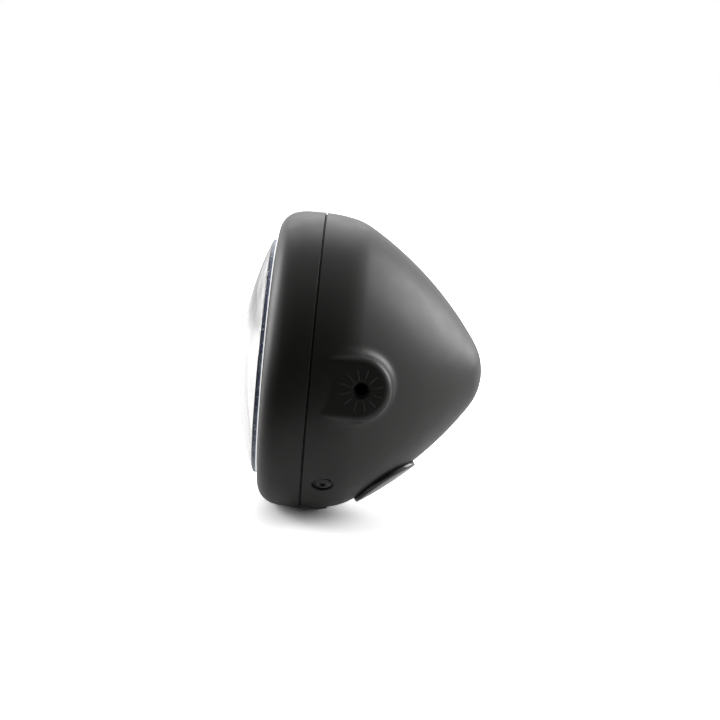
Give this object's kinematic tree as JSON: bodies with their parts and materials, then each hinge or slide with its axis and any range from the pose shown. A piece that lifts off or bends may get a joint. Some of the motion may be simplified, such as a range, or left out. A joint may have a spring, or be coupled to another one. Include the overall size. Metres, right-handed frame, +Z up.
{
  "type": "round motorcycle headlight",
  "caption": "Round side-mounted headlight: pressed bowl with tapped side bosses, rolled bezel, domed clear lens, reflector with bulb, rubber cable grommet and drain louvre.",
  "frame": {"origin": "where the axis of the two side bolts crosses the lamp's axis, within about a millimetre of the middle of the box", "axes": "-Y is the way the lens faces, +Y runs along the lamp's axis to the nose, +X points out of the left side boss as the rider sees it, +Z is up"},
  "size_m": [0.164, 0.1343, 0.1642],
  "materials": {
    "black_paint": "satin black paint over pressed steel",
    "plated_steel": "zinc-plated steel",
    "black_screw": "black-coated steel",
    "rubber": "matt black rubber",
    "clear_glass": "clear pressed glass",
    "bulb_glass": "thin clear quartz glass",
    "mirror_coat": "vapour-coated aluminium mirror",
    "spring_wire": "bright spring wire",
    "filament_wire": "drawn wire",
    "terminal_brass": "tinned brass"
  },
  "bodies": {
    "root": {"bowl": "black_paint", "left_bush": "plated_steel", "right_bush": "plated_steel", "rim_seal": "rubber", "bezel": "black_paint", "left_lug": "plated_steel", "right_lug": "plated_steel", "left_screw": "black_screw", "right_screw": "black_screw", "top_hook": "plated_steel", "lens_gasket": "rubber", "lens": "clear_glass", "reflector": "mirror_coat", "retaining_ring": "plated_steel", "ring_screws": "plated_steel", "bulb_glass": "bulb_glass", "filaments": "filament_wire", "bulb_base": "plated_steel", "bulb_terminals": "terminal_brass", "bulb_clip": "spring_wire", "bulb_boot": "rubber", "parking_holder": "rubber", "parking_bulb": "bulb_glass", "grommet": "rubber"}
  },
  "joints": []
}
